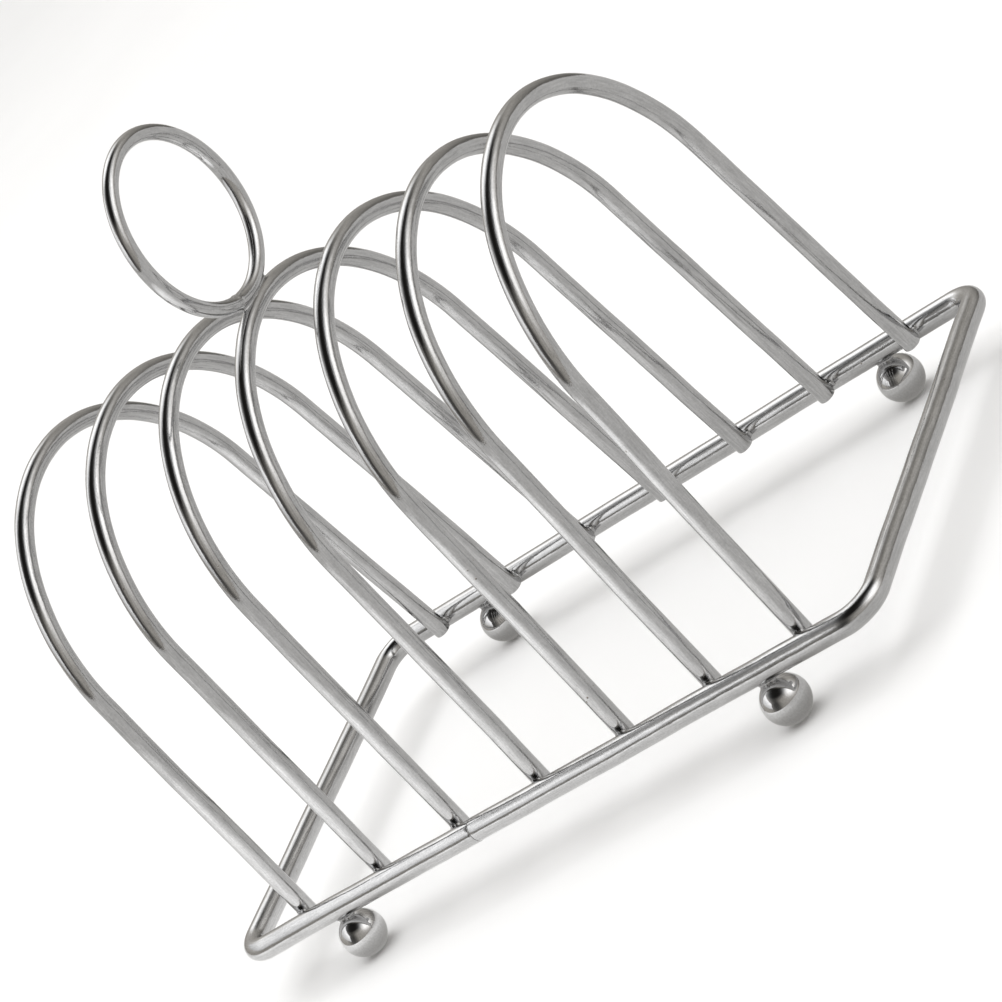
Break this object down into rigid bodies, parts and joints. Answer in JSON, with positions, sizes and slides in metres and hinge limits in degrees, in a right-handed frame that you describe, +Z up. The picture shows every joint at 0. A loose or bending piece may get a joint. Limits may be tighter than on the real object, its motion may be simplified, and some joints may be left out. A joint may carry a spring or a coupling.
{
  "type": "toast rack",
  "caption": "Welded wire toast rack: arched hoops on a bent-rod base with ball feet hold slices upright, and a ring on top lifts it.",
  "frame": {"origin": "on the ground, under the middle of the base loop", "axes": "+X along the long rails towards the end that is at the right of the picture, +Y across from the near rail to the far rail, +Z up"},
  "size_m": [0.1824, 0.109, 0.153],
  "materials": {
    "rod": "bright plated, polished",
    "wire": "bright plated over drawn wire",
    "foot": "bright plated, mirror polished",
    "weld": "plated weld metal, slightly rough"
  },
  "bodies": {
    "root": {"base_loop": "rod", "hoop_1": "wire", "weld_hoop_1_near": "weld", "weld_hoop_1_far": "weld", "hoop_2": "wire", "weld_hoop_2_near": "weld", "weld_hoop_2_far": "weld", "hoop_3": "wire", "weld_hoop_3_near": "weld", "weld_hoop_3_far": "weld", "hoop_4": "wire", "weld_hoop_4_near": "weld", "weld_hoop_4_far": "weld", "hoop_5": "wire", "weld_hoop_5_near": "weld", "weld_hoop_5_far": "weld", "hoop_6": "wire", "weld_hoop_6_near": "weld", "weld_hoop_6_far": "weld", "hoop_7": "wire", "weld_hoop_7_near": "weld", "weld_hoop_7_far": "weld", "foot_near_left": "foot", "weld_foot_near_left": "weld", "foot_near_right": "foot", "weld_foot_near_right": "weld", "foot_far_left": "foot", "weld_foot_far_left": "weld", "foot_far_right": "foot", "weld_foot_far_right": "weld", "ring_handle": "wire", "weld_ring_left": "weld", "weld_ring_right": "weld"}
  },
  "joints": []
}
